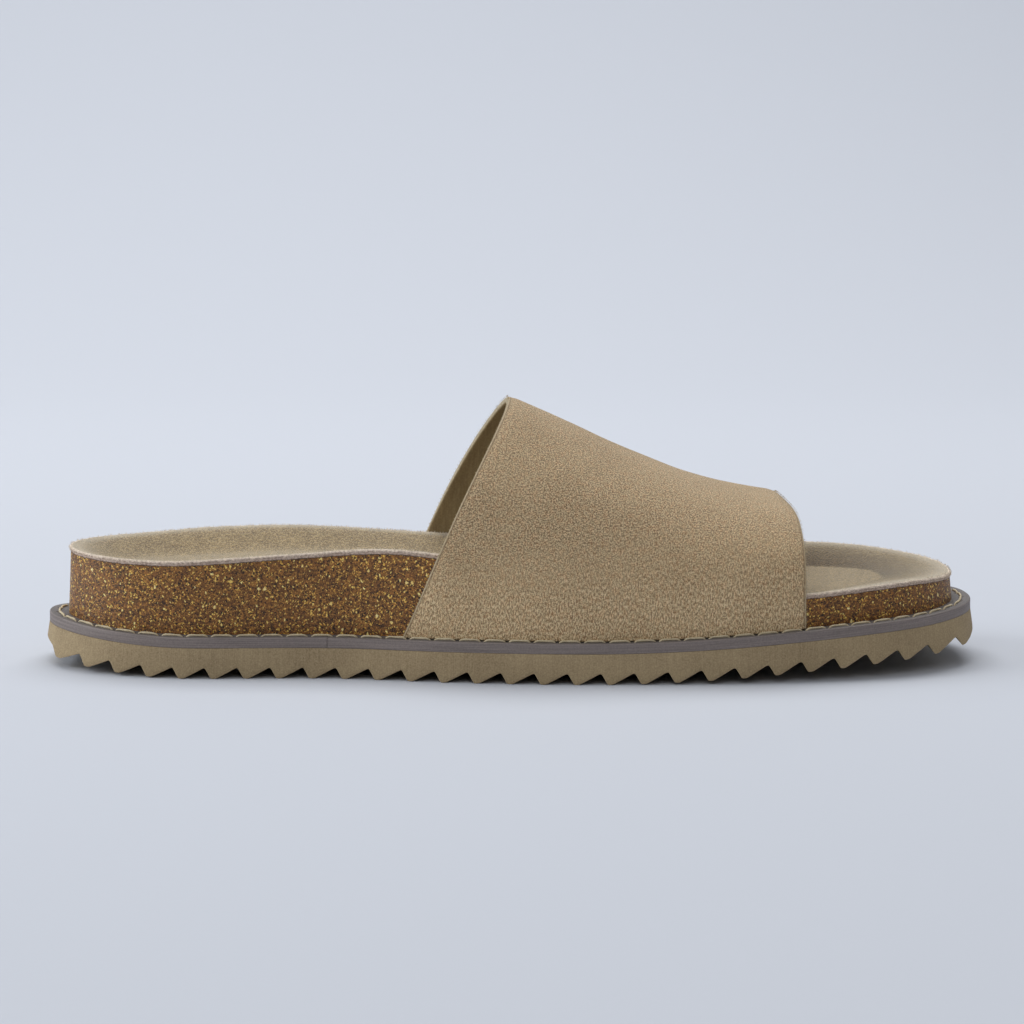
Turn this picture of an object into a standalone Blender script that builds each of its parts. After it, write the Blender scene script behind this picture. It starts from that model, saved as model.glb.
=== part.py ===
"""Slide sandal, right foot: saw-tooth outsole, welt strip, cork midsole, insole and one wide strap.

The toe points along +X, the outer (lateral) side along -Y, and the sole stands on Z = 0.
"""
from math import radians, tan

import bmesh
import bpy
import numpy as np

MM = 0.001  # metres in a millimetre; every size below is in millimetres

# Sole
SOLE_LENGTH = 290.0
HEEL_ROUND = 51.0  # length over which the back of the heel rounds off
LATERAL_TOE_ROUND = 96.0
MEDIAL_TOE_ROUND = 76.0
HEEL_ROUND_POWER = 2.1  # 2 would be an ellipse
TOE_ROUND_POWER = 2.3
SOLE_FLARE = 1.4  # how far the foot of the outsole's wall stands out past its top
OUTSOLE_HEIGHT = 9.0
HEEL_SPRING = 3.6
HEEL_SPRING_LENGTH = 44.0
HEEL_SPRING_POWER = 1.8
TOE_SPRING = 5.7
TOE_SPRING_LENGTH = 125.0
TOE_CURL = 1.5  # added lift at the very tip
TOE_CURL_LENGTH = 30.0

# Saw teeth across the sole
TOOTH_COUNT = 29
TOOTH_PITCH = 9.95
FIRST_TIP = 5.0  # from the back of the heel to the first tooth's tip
TOOTH_DRIFT = 2.0  # how far the middle teeth lie behind an even row
TOOTH_SLANT = radians(-3.0)  # the lateral end of each tooth lies further back
HEEL_END_HEIGHT = 4.4  # clear height under the very back of the sole
TOE_END_HEIGHT = 4.2
TOE_END_ROUND = 2.6
TOE_END_KNEE = (1.0, 2.5)  # point half-way round the toe end: depth and height
END_ROWS = 14  # extra rows that keep each rounded end smooth
END_ROWS_REACH = 40.0
END_FACE = 0.2  # depth of the sliver left flat at each end
END_MARGIN = 0.5  # no tooth point closer than this to the back of the heel

# Layers above the outsole
SEAM = 0.3  # gap kept between pieces that meet
WELT_HEIGHT = 2.9
WELT_WIDTH = 12.0
WELT_POINTS = 104
WELT_JOINT_STATION = 86.0  # where the two ends of the strip meet, on the lateral side
WELT_JOINT_GAP = 0.4
LEDGE = 5.9  # welt showing outside the cork
CORK_DRAFT = 0.7  # how far the cork wall leans in towards its rim
INSOLE_THICKNESS = 1.6

# Strap
STRAP_THICKNESS = 2.2
STRAP_BACK_STATION = 108.5  # foot of the back edge
STRAP_BACK_LEAN = radians(26.15)  # from vertical, towards the toe
STRAP_BACK_HEIGHT = 69.0  # of the back edge over the welt
STRAP_BACK_BULGE = 2.5  # how far the middle of the back edge bows towards the heel
STRAP_BULGE_POWER = 1.26  # over 1 moves the fullest point of that bow up
STRAP_FRONT_STATION = 230.0
STRAP_FRONT_UPRIGHT = 29.6  # height to which the front edge runs straight up
STRAP_FRONT_SCOOP = 11.4  # how far the top of the front edge is cut back
STRAP_FRONT_POWER = 3.0  # fullness of the corner where it turns over the top
STRAP_RIM_CLEARANCE = 1.0  # the sides stand upright to this height over the insole rim
STRAP_WALL_SHARE = 0.3  # part of the run from foot to ridge that stands upright
STRAP_ROWS = 17
STRAP_WALL_STEPS = 3
STRAP_ARCH_STEPS = 13
STRAP_SOLVE_STEPS = 40

LOOP_HALF = 42  # points along one side of a closed outline
BED_RINGS = (0.0, 0.045, 0.13, 0.25, 0.40, 0.60, 0.84)  # share of the way from rim to spine
RIM_BLEND = 44.0  # width over which the two rims run into each other at heel and toe
SPINE_START = 44.0
SPINE_END = 236.0
SHARP_ANGLE = radians(35.0)

# Colour and roughness of each piece
SURFACES = {
    "outsole": ((0.30, 0.24, 0.15), 0.7),
    "welt": ((0.20, 0.175, 0.165), 0.6),
    "cork_midsole": ((0.13, 0.065, 0.022), 0.75),
    "insole": ((0.46, 0.39, 0.28), 0.95),
    "upper": ((0.44, 0.33, 0.21), 0.95),
}

# Plan of the sole: station from the heel, centre line, reach to each side before the ends round off
SOLE_COLUMNS = ("station", "centre", "lateral", "medial")
SOLE_SECTIONS = (
    (0.0, 0.0, 36.2, 37.5),
    (45.0, 0.0, 38.3, 38.0),
    (90.0, 0.0, 38.8, 33.5),
    (122.0, 0.0, 46.4, 31.5),
    (152.0, 0.5, 51.2, 36.0),
    (180.0, 1.5, 52.8, 44.0),
    (205.0, 3.0, 53.9, 49.5),
    (230.0, 4.5, 54.3, 50.5),
    (260.0, 6.0, 55.4, 50.5),
    (290.0, 7.0, 55.4, 50.5),
)

# Footbed: heights above the welt, and the width of the slope from rim to floor
BED_COLUMNS = ("station", "floor", "lateral_rim", "medial_rim", "slope")
BED_SECTIONS = (
    (0.0, 16.8, 20.1, 20.4, 16.0),
    (22.0, 17.2, 21.2, 22.4, 16.0),
    (48.0, 18.0, 22.5, 24.8, 15.0),
    (76.0, 19.6, 24.3, 26.0, 15.0),
    (108.0, 19.8, 26.2, 24.8, 15.0),
    (140.0, 16.4, 22.3, 22.6, 14.0),
    (175.0, 11.2, 15.2, 18.2, 12.0),
    (205.0, 8.6, 11.4, 15.6, 11.0),
    (235.0, 8.2, 10.2, 14.8, 12.0),
    (250.0, 8.0, 10.4, 13.8, 17.0),
    (265.0, 7.8, 10.3, 12.2, 23.0),
    (290.0, 6.0, 7.4, 7.8, 25.0),
)

# Strap: ridge height above the welt, ridge offset to the medial side, roundness of each shoulder
STRAP_COLUMNS = ("station", "ridge", "offset", "lateral_power", "medial_power")
STRAP_SECTIONS = (
    (100.0, 80.7, 1.0, 1.6, 2.0),
    (130.0, 74.3, 1.5, 1.6, 2.0),
    (155.0, 64.3, 2.5, 1.7, 2.1),
    (180.0, 52.5, 4.0, 1.9, 2.2),
    (205.0, 42.1, 5.0, 2.2, 2.3),
    (235.0, 34.2, 6.0, 2.45, 2.3),
)

# One saw tooth: distance from its tip towards the toe, height above its tip
TOOTH_COLUMNS = ("along", "height")
TOOTH_POINTS = (
    (-1.9, 3.05),
    (-0.35, 0.35),
    (0.1, 0.0),
    (1.1, 0.0),
    (1.8, 0.25),
    (7.3, 3.1),
)


def column(table, names, name):
    """One named column of a table as an array."""
    return np.array([row[names.index(name)] for row in table])


def read(table, names, name, station):
    """A column's value at any station, on a smooth curve through the table's rows."""
    along = column(table, names, names[0])
    values = column(table, names, name)
    slopes = np.gradient(values, along)
    station = np.clip(np.asarray(station, float), along[0], along[-1])
    row = np.clip(np.searchsorted(along, station) - 1, 0, len(along) - 2)
    span = along[row + 1] - along[row]
    t = (station - along[row]) / span
    start = (1 + 2 * t) * (1 - t) ** 2 * values[row] + t * (1 - t) ** 2 * span * slopes[row]
    end = t * t * (3 - 2 * t) * values[row + 1] + t * t * (t - 1) * span * slopes[row + 1]
    return start + end


def smooth_step(t):
    t = np.clip(t, 0.0, 1.0)
    return t * t * (3 - 2 * t)


def round_off(distance_to_end, length, power):
    """Share of the full width left at a distance from a rounded end."""
    t = np.clip(1 - distance_to_end / length, 0.0, 1.0)
    return (1 - t ** power) ** (1 / power)


def spring(station):
    """Lift of the whole sole off the ground plane, at the heel and at the toe."""
    heel = np.clip(1 - station / HEEL_SPRING_LENGTH, 0.0, 1.0) ** HEEL_SPRING_POWER
    toe = smooth_step(1 - (SOLE_LENGTH - station) / TOE_SPRING_LENGTH)
    tip = np.clip(1 - (SOLE_LENGTH - station) / TOE_CURL_LENGTH, 0.0, 1.0) ** 2
    return HEEL_SPRING * heel + TOE_SPRING * toe + TOE_CURL * tip


def side_edge(side, station):
    """Y of the sole's edge at a station, on the lateral or the medial side."""
    heel = round_off(station, HEEL_ROUND, HEEL_ROUND_POWER)
    toe_length = LATERAL_TOE_ROUND if side == "lateral" else MEDIAL_TOE_ROUND
    toe = round_off(SOLE_LENGTH - station, toe_length, TOE_ROUND_POWER)
    reach = read(SOLE_SECTIONS, SOLE_COLUMNS, side, station) * heel * toe
    centre = read(SOLE_SECTIONS, SOLE_COLUMNS, "centre", station)
    return centre - reach if side == "lateral" else centre + reach


def resample(path, count):
    """Evenly read points along a path, closer together towards its ends."""
    length = np.concatenate([[0.0], np.cumsum(np.linalg.norm(np.diff(path, axis=0), axis=1))])
    even = np.linspace(0.0, 1.0, count)
    share = 0.5 * even + 0.25 * (1 - np.cos(np.pi * even))
    wanted = share * length[-1]
    return np.stack([np.interp(wanted, length, path[:, axis]) for axis in (0, 1)], axis=1)


def side_path(side, samples=700):
    """Fine path along one side of the foot of the sole, heel to toe."""
    station = SOLE_LENGTH * (1 - np.cos(np.linspace(0.0, np.pi, samples))) / 2
    return np.stack([station, side_edge(side, station)], axis=1)


def offset(loop, distance):
    """A closed loop moved outwards, or inwards where the distance is negative."""
    along = np.roll(loop, -1, axis=0) - np.roll(loop, 1, axis=0)
    along /= np.linalg.norm(along, axis=1)[:, None]
    outward = np.stack([along[:, 1], -along[:, 0]], axis=1)
    return loop + outward * distance


def fine_outline(distance):
    """Fine closed outline, heel - lateral - toe - medial, offset from the foot of the sole."""
    lateral = side_path("lateral")
    medial = side_path("medial")[::-1]
    return offset(np.concatenate([lateral, medial[1:-1]]), distance)


def outline(distance):
    """Closed outline with LOOP_HALF points a side, so that point i faces point -i."""
    fine = fine_outline(distance)
    toe = len(fine) // 2
    lateral = resample(fine[:toe + 1], LOOP_HALF + 1)
    medial = resample(np.concatenate([fine[toe:], fine[:1]]), LOOP_HALF + 1)
    return np.concatenate([lateral, medial[1:-1]])


WIDEST = fine_outline(0.0)
MIDDLE_Y = (WIDEST[:, 1].min() + WIDEST[:, 1].max()) / 2
WELT_TOP = OUTSOLE_HEIGHT + SEAM + WELT_HEIGHT
WELT_OUTSET = -SOLE_FLARE
CORK_OUTSET = WELT_OUTSET - LEDGE
RIM_OUTSET = CORK_OUTSET - CORK_DRAFT
STRAP_OUTSET = CORK_OUTSET + SEAM + STRAP_THICKNESS


def place(points):
    """Points in millimetres from the heel, moved to the part's own frame in metres."""
    shift = np.array([SOLE_LENGTH / 2, MIDDLE_Y, 0.0])
    return (np.asarray(points, float) - shift) * MM


def raised(loop, height):
    """A plan loop lifted to a height above the springing ground line."""
    return np.column_stack([loop, spring(loop[:, 0]) + height])


class Solid:
    """A mesh under construction: rings of points joined by strips of faces."""

    def __init__(self, name):
        self.name = name
        self.mesh = bmesh.new()

    def ring(self, points):
        return [self.mesh.verts.new(point) for point in place(points)]

    def face(self, *corners):
        self.mesh.faces.new(corners)

    def strip(self, first, second, closed=True):
        count = len(first)
        for i in range(count if closed else count - 1):
            j = (i + 1) % count
            self.face(first[i], first[j], second[j], second[i])

    def fill(self, ring):
        """Closes a ring with faces that run straight across from side to side."""
        count = len(ring)
        half = count // 2
        self.face(ring[0], ring[1], ring[-1])
        for i in range(1, half - 1):
            self.face(ring[i], ring[i + 1], ring[count - i - 1], ring[count - i])
        self.face(ring[half - 1], ring[half], ring[half + 1])

    def finish(self):
        bmesh.ops.recalc_face_normals(self.mesh, faces=self.mesh.faces)
        data = bpy.data.meshes.new(self.name)
        self.mesh.to_mesh(data)
        self.mesh.free()
        data.shade_smooth()
        data.set_sharp_from_angle(angle=SHARP_ANGLE)
        data.materials.append(surface(self.name, *SURFACES[self.name]))
        thing = bpy.data.objects.new(self.name, data)
        bpy.context.scene.collection.objects.link(thing)
        return thing


def surface(name, colour, roughness):
    """A plain Principled material."""
    material = bpy.data.materials.new(name)
    material.use_nodes = True
    shader = material.node_tree.nodes["Principled BSDF"]
    shader.inputs["Base Color"].default_value = (*colour, 1.0)
    shader.inputs["Roughness"].default_value = roughness
    shader.inputs["Metallic"].default_value = 0.0
    return material


def tooth_profile(start, end):
    """Underside of the outsole along the foot: stations and heights above the ground line."""
    along = column(TOOTH_POINTS, TOOTH_COLUMNS, "along")
    height = column(TOOTH_POINTS, TOOTH_COLUMNS, "height")
    number = np.arange(TOOTH_COUNT)
    drift = TOOTH_DRIFT * np.sin(np.pi * number / (TOOTH_COUNT - 1))
    tips = start + FIRST_TIP + TOOTH_PITCH * number - drift
    stations = (tips[:, None] + along).ravel()
    heights = np.tile(height, TOOTH_COUNT)
    inside = (stations > start + END_MARGIN) & (stations < end - TOE_END_ROUND)
    knee_depth, knee_height = TOE_END_KNEE
    toe_stations = [end - knee_depth, end - END_FACE]
    toe_heights = [knee_height, TOE_END_HEIGHT]
    stations = np.concatenate([[start + END_FACE], stations[inside], toe_stations])
    heights = np.concatenate([[HEEL_END_HEIGHT], heights[inside], toe_heights])
    extra = np.geomspace(2 * END_FACE, END_ROWS_REACH, END_ROWS)
    rows = np.union1d(stations, np.concatenate([start + extra, end - extra]))
    rows = rows[np.concatenate([[True], np.diff(rows) > END_FACE])]
    return rows, np.interp(rows, stations, heights)


def across(loop):
    """Position of each point of a loop counted square to the slanting teeth."""
    return loop[:, 0] + loop[:, 1] * tan(TOOTH_SLANT)


def row_ends(loop, rows, twin):
    """Points of a twin loop beside which lines parallel to the teeth cross each side of a loop."""
    start = int(np.argmin(across(loop)))
    loop = np.roll(loop, -start, axis=0)
    twin = np.roll(twin, -start, axis=0)
    far = int(np.argmax(across(loop)))
    ends = []
    for side in (slice(0, far + 1), slice(None, far - 1, -1)):
        position = across(loop[side])
        ends.append(np.stack([np.interp(rows, position, twin[side][:, axis]) for axis in (0, 1)], axis=1))
    return ends


def make_outsole():
    solid = Solid("outsole")
    foot = fine_outline(0.0)
    top = fine_outline(WELT_OUTSET)
    start, end = across(foot).min(), across(foot).max()
    rows, heights = tooth_profile(start, end)
    feet = row_ends(foot, rows, foot)
    tops = row_ends(foot, rows, top)
    share = (heights / OUTSOLE_HEIGHT)[:, None]
    lateral_low, medial_low = [low + (high - low) * share for low, high in zip(feet, tops)]
    lateral_top, medial_top = tops
    lines = [
        solid.ring(raised(lateral_top, OUTSOLE_HEIGHT)),
        solid.ring(raised(lateral_low, heights)),
        solid.ring(raised(medial_low, heights)),
        solid.ring(raised(medial_top, OUTSOLE_HEIGHT)),
    ]
    for i, line in enumerate(lines):
        solid.strip(line, lines[(i + 1) % len(lines)], closed=False)
    solid.face(*[line[0] for line in lines])
    solid.face(*[line[-1] for line in lines])
    return solid.finish()


def make_welt():
    solid = Solid("welt")
    fine = [fine_outline(WELT_OUTSET), fine_outline(WELT_OUTSET - WELT_WIDTH)]
    half = len(fine[0]) // 2
    joint = int(np.searchsorted(fine[0][:half, 0], WELT_JOINT_STATION))
    edges = []
    for loop in fine:
        path = np.roll(loop, -joint, axis=0)
        path = np.concatenate([path, path[:1]])
        path[0, 0] += WELT_JOINT_GAP / 2
        path[-1, 0] -= WELT_JOINT_GAP / 2
        edges.append(resample(path, WELT_POINTS))
    outer, inner = edges
    bottom = OUTSOLE_HEIGHT + SEAM
    lines = [
        solid.ring(raised(outer, bottom)),
        solid.ring(raised(outer, WELT_TOP)),
        solid.ring(raised(inner, WELT_TOP)),
        solid.ring(raised(inner, bottom)),
    ]
    for i, line in enumerate(lines):
        solid.strip(line, lines[(i + 1) % len(lines)], closed=False)
    solid.face(*[line[0] for line in lines])
    solid.face(*[line[-1] for line in lines])
    return solid.finish()


def bed_rings():
    """Rings of the footbed's upper surface, from the rim inwards."""
    rim = outline(RIM_OUTSET)
    count = len(rim)
    station = rim[:, 0]
    centre = read(SOLE_SECTIONS, SOLE_COLUMNS, "centre", station)
    medial = smooth_step(0.5 + (rim[:, 1] - centre) / RIM_BLEND)
    lateral_rim = read(BED_SECTIONS, BED_COLUMNS, "lateral_rim", station)
    medial_rim = read(BED_SECTIONS, BED_COLUMNS, "medial_rim", station)
    rim_height = lateral_rim + (medial_rim - lateral_rim) * medial
    facing = rim[-np.arange(count)]
    middle = (rim + facing) / 2
    spine_station = np.clip(station, SPINE_START, SPINE_END)
    spine_y = np.interp(spine_station, middle[:LOOP_HALF + 1, 0], middle[:LOOP_HALF + 1, 1])
    spine = np.stack([spine_station, spine_y], axis=1)
    reach = np.linalg.norm(rim - spine, axis=1)
    rings = []
    for share in BED_RINGS:
        loop = rim + (spine - rim) * share
        slope = read(BED_SECTIONS, BED_COLUMNS, "slope", loop[:, 0])
        floor = read(BED_SECTIONS, BED_COLUMNS, "floor", loop[:, 0])
        drop = smooth_step(share * reach / slope)
        rings.append(raised(loop, WELT_TOP + rim_height + (floor - rim_height) * drop))
    return rings


def make_cork_midsole():
    solid = Solid("cork_midsole")
    plug = outline(WELT_OUTSET - WELT_WIDTH - SEAM)
    base = outline(CORK_OUTSET)
    lines = [
        solid.ring(raised(plug, OUTSOLE_HEIGHT + SEAM)),
        solid.ring(raised(plug, WELT_TOP + SEAM)),
        solid.ring(raised(base, WELT_TOP + SEAM)),
    ]
    for ring in bed_rings():
        lines.append(solid.ring(ring - [0.0, 0.0, INSOLE_THICKNESS + SEAM]))
    for lower, upper in zip(lines, lines[1:]):
        solid.strip(lower, upper)
    solid.fill(lines[0])
    solid.fill(lines[-1])
    return solid.finish()


def make_insole():
    solid = Solid("insole")
    rings = bed_rings()
    top = [solid.ring(ring) for ring in rings]
    bottom = [solid.ring(ring - [0.0, 0.0, INSOLE_THICKNESS]) for ring in rings]
    for sheet in (top, bottom):
        for outer, inner in zip(sheet, sheet[1:]):
            solid.strip(outer, inner)
        solid.fill(sheet[-1])
    solid.strip(top[0], bottom[0])
    return solid.finish()


def strap_section(station, share):
    """Y and height above the welt of one point of the strap's outside.

    share runs from -1 at the foot of the lateral wall, over the ridge at 0, to 1 on the medial side.
    """
    side = "lateral" if share < 0 else "medial"
    edges = STRAP_EDGES[side]
    foot = np.interp(station, edges[:, 0], edges[:, 1])
    rim = float(read(BED_SECTIONS, BED_COLUMNS, side + "_rim", station)) + STRAP_RIM_CLEARANCE
    ridge = float(read(STRAP_SECTIONS, STRAP_COLUMNS, "ridge", station))
    crown = float(read(STRAP_SECTIONS, STRAP_COLUMNS, "offset", station))
    power = float(read(STRAP_SECTIONS, STRAP_COLUMNS, side + "_power", station))
    climb = 1 - abs(share)
    if climb <= STRAP_WALL_SHARE:
        return foot, SEAM + (rim - SEAM) * climb / STRAP_WALL_SHARE
    angle = (climb - STRAP_WALL_SHARE) / (1 - STRAP_WALL_SHARE) * np.pi / 2
    reach = max(np.cos(angle), 0.0) ** (2 / power)
    return crown + (foot - crown) * reach, rim + (ridge - rim) * np.sin(angle) ** (2 / power)


def strap_station(height, along):
    """Station of a point between the back edge (along = 0) and the front edge (along = 1)."""
    climb = np.clip(height / STRAP_BACK_HEIGHT, 0.0, 1.0)
    bulge = STRAP_BACK_BULGE * np.sin(np.pi * climb ** STRAP_BULGE_POWER)
    back = STRAP_BACK_STATION + height * tan(STRAP_BACK_LEAN) - bulge
    ridge = read(STRAP_SECTIONS, STRAP_COLUMNS, "ridge", STRAP_FRONT_STATION - STRAP_FRONT_SCOOP)
    rise = np.clip((height - STRAP_FRONT_UPRIGHT) / (ridge - STRAP_FRONT_UPRIGHT), 0.0, 1.0)
    cut_back = 1 - (1 - rise ** STRAP_FRONT_POWER) ** (1 / STRAP_FRONT_POWER)
    front = STRAP_FRONT_STATION - STRAP_FRONT_SCOOP * cut_back
    return back + (front - back) * along


def strap_point(along, share):
    """A point of the strap's outside, its station settled in half steps until it suits its height."""
    station = STRAP_BACK_STATION + (STRAP_FRONT_STATION - STRAP_BACK_STATION) * along
    for _ in range(STRAP_SOLVE_STEPS):
        y, height = strap_section(station, share)
        station += (strap_station(height, along) - station) / 2
    return station, y, spring(station) + WELT_TOP + height


def half_edges():
    """Plan path of the strap's foot on each side of the cork."""
    fine = fine_outline(STRAP_OUTSET)
    toe = len(fine) // 2
    return {"lateral": fine[:toe + 1], "medial": np.concatenate([fine[toe:], fine[:1]])[::-1]}


STRAP_EDGES = half_edges()


def make_upper():
    solid = Solid("upper")
    climbs = np.concatenate([
        np.linspace(0.0, STRAP_WALL_SHARE, STRAP_WALL_STEPS + 1)[:-1],
        np.linspace(STRAP_WALL_SHARE, 1.0, STRAP_ARCH_STEPS),
    ])
    shares = np.concatenate([climbs - 1, (1 - climbs)[::-1][1:]])
    rows = []
    for along in np.linspace(0.0, 1.0, STRAP_ROWS):
        rows.append(solid.ring([strap_point(along, share) for share in shares]))
    for first, second in zip(rows, rows[1:]):
        solid.strip(first, second, closed=False)
    upper = solid.finish()
    thick = upper.modifiers.new("thickness", "SOLIDIFY")
    thick.thickness = STRAP_THICKNESS * MM
    thick.offset = -1.0
    thick.use_even_offset = True
    return upper


def clear_scene():
    for thing in list(bpy.data.objects):
        bpy.data.objects.remove(thing, do_unlink=True)


def main():
    clear_scene()
    make_outsole()
    make_welt()
    make_cork_midsole()
    make_insole()
    make_upper()


main()
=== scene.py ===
import math

import bmesh
import bpy
import numpy as np
from mathutils import Matrix, Vector, noise


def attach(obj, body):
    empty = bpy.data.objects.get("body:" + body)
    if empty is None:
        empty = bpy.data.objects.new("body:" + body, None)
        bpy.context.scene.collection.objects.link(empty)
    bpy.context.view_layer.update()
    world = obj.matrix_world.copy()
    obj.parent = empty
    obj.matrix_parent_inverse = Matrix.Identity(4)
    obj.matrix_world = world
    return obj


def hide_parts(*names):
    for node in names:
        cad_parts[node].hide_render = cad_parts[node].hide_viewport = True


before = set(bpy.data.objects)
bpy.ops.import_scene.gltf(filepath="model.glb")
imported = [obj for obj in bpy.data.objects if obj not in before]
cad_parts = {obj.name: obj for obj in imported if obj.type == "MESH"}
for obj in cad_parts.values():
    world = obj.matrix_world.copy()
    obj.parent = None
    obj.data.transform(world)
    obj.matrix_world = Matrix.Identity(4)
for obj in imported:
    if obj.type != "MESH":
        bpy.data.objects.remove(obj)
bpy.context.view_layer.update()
mm = 0.001
print("frame in:", ", ".join(sorted(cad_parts)))

# camera, set to the angle and the framing of the photograph
cameraForm = {
    "lens": 120.0,
    "sensor": 36.0,
    "target": (-0.001, 0.0, 0.0454),
    "distance": 1.06,
    "yaw": -4.0,
    "rise": 7.0,
    "roll": 0.5,
}


def addCamera():
    yaw, rise, roll = (math.radians(cameraForm[key]) for key in ("yaw", "rise", "roll"))
    back = Vector((math.sin(yaw) * math.cos(rise), -math.cos(yaw) * math.cos(rise), math.sin(rise)))
    right = Vector((math.cos(yaw), math.sin(yaw), 0.0))
    up = back.cross(right)
    across = right * math.cos(roll) + up * math.sin(roll)
    above = up * math.cos(roll) - right * math.sin(roll)
    place = Vector(cameraForm["target"]) + back * cameraForm["distance"]
    data = bpy.data.cameras.new("camera")
    data.lens = cameraForm["lens"]
    data.sensor_width = cameraForm["sensor"]
    data.clip_start, data.clip_end = 0.01, 50.0
    camera = bpy.data.objects.new("camera", data)
    camera.matrix_world = Matrix((across, above, back)).transposed().to_4x4()
    camera.matrix_world.translation = place
    bpy.context.scene.collection.objects.link(camera)
    bpy.context.scene.camera = camera


addCamera()
print("camera set")

# the last: plan and side line of the sole, in millimetres from the back of the heel
soleForm = {
    "length": 290.0,
    "heelRound": 51.0,
    "heelPower": 2.1,
    "toeRound": {"lateral": 96.0, "medial": 76.0},
    "toePower": 2.3,
    "heelSpring": 3.6,
    "heelSpringLength": 44.0,
    "heelSpringPower": 1.8,
    "toeSpring": 5.7,
    "toeSpringLength": 125.0,
    "toeCurl": 1.5,
    "toeCurlLength": 30.0,
    "outsoleTop": 9.0,
    "weltTop": 12.2,
    "flare": 1.4,  # the foot of the outsole stands out this far past the welt
    "ledge": 5.9,  # welt showing outside the cork
    "corkDraft": 0.7,
    # station, centre line, reach to the lateral side, reach to the medial side
    "sections": (
        (0.0, 0.0, 36.2, 37.5),
        (45.0, 0.0, 38.3, 38.0),
        (90.0, 0.0, 38.8, 33.5),
        (122.0, 0.0, 46.4, 31.5),
        (152.0, 0.5, 51.2, 36.0),
        (180.0, 1.5, 52.8, 44.0),
        (205.0, 3.0, 53.9, 49.5),
        (230.0, 4.5, 54.3, 50.5),
        (260.0, 6.0, 55.4, 50.5),
        (290.0, 7.0, 55.4, 50.5),
    ),
}
sideColumn = {"lateral": 2, "medial": 3}


def curveAt(rows, column, station):  # smooth curve through one column of a table
    table = np.array(rows)
    along, values = table[:, 0], table[:, column]
    slopes = np.gradient(values, along)
    station = np.clip(station, along[0], along[-1])
    row = np.clip(np.searchsorted(along, station) - 1, 0, len(along) - 2)
    span = along[row + 1] - along[row]
    t = (station - along[row]) / span
    start = (1 + 2 * t) * (1 - t) ** 2 * values[row] + t * (1 - t) ** 2 * span * slopes[row]
    end = t * t * (3 - 2 * t) * values[row + 1] + t * t * (t - 1) * span * slopes[row + 1]
    return start + end


def easeStep(t):
    t = np.clip(t, 0.0, 1.0)
    return t * t * (3 - 2 * t)


def roundOff(toEnd, length, power):  # share of the full width left near a rounded end
    t = np.clip(1 - toEnd / length, 0.0, 1.0)
    return (1 - t ** power) ** (1 / power)


def springLift(station):
    toToe = soleForm["length"] - station
    heel = np.clip(1 - station / soleForm["heelSpringLength"], 0.0, 1.0) ** soleForm["heelSpringPower"]
    toe = easeStep(1 - toToe / soleForm["toeSpringLength"])
    curl = np.clip(1 - toToe / soleForm["toeCurlLength"], 0.0, 1.0) ** 2
    return soleForm["heelSpring"] * heel + soleForm["toeSpring"] * toe + soleForm["toeCurl"] * curl


def sideLine(side, station):
    ends = roundOff(station, soleForm["heelRound"], soleForm["heelPower"])
    ends = ends * roundOff(soleForm["length"] - station, soleForm["toeRound"][side], soleForm["toePower"])
    reach = curveAt(soleForm["sections"], sideColumn[side], station) * ends
    centre = curveAt(soleForm["sections"], 1, station)
    return centre - reach if side == "lateral" else centre + reach


def runAlong(points):  # length from the first point to each of the others
    return np.concatenate([[0.0], np.cumsum(np.linalg.norm(np.diff(points, axis=0), axis=1))])


def unit(vectors):
    return vectors / np.linalg.norm(vectors, axis=-1, keepdims=True)


halfSteps = 700
halfStations = soleForm["length"] * (1 - np.cos(np.linspace(0.0, np.pi, halfSteps))) / 2
lateralHalf = np.stack([halfStations, sideLine("lateral", halfStations)], axis=1)
medialHalf = np.stack([halfStations, sideLine("medial", halfStations)], axis=1)
footLoop = np.vstack([lateralHalf, medialHalf[::-1][1:-1]])  # heel, lateral side, toe, medial side
loopRun = runAlong(np.vstack([footLoop, footLoop[:1]]))
loopLength = loopRun[-1]
loopShare = loopRun / loopLength
middleY = (footLoop[:, 1].min() + footLoop[:, 1].max()) / 2


def pushOut(loop, distance):  # a closed loop moved square to itself
    along = unit(np.roll(loop, -1, axis=0) - np.roll(loop, 1, axis=0))
    return loop + np.stack([along[:, 1], -along[:, 0]], axis=1) * distance


def ringAt(distance, share):  # outline points at shares of the way round
    loop = pushOut(footLoop, distance)
    loop = np.vstack([loop, loop[:1]])
    return [np.interp(share % 1.0, loopShare, loop[:, axis]) for axis in (0, 1)]


def toFrame(x, y, z):  # millimetres from the heel to the part's own frame
    x, y, z = np.broadcast_arrays(x, y, z)
    return np.stack([x - soleForm["length"] / 2, y - middleY, z], axis=-1) * mm


weltOut = -soleForm["flare"]
corkOut = weltOut - soleForm["ledge"]
rimOut = corkOut - soleForm["corkDraft"]


def rollSheet(points, uvs, traits=None, rowZones=None):  # a grid bent on to rows of points
    rows, columns = points.shape[:2]
    bm = bmesh.new()
    uvLayer = bm.loops.layers.uv.new("UVMap")
    traitLayers = {name: bm.verts.layers.float.new(name) for name in (traits or {})}
    bmesh.ops.create_grid(bm, x_segments=columns - 1, y_segments=rows - 1, size=1.0)
    if rowZones is not None:
        for face in bm.faces:
            face.material_index = rowZones[int((face.calc_center_median().y + 1) / 2 * (rows - 1))]
    for vert in bm.verts:
        column = round((vert.co.x + 1) / 2 * (columns - 1))
        row = round((vert.co.y + 1) / 2 * (rows - 1))
        for name, layer in traitLayers.items():
            vert[layer] = traits[name][row, column]
        for loop in vert.link_loops:
            loop[uvLayer].uv = uvs[row, column]
        vert.co = points[row, column]
    return bm


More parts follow.
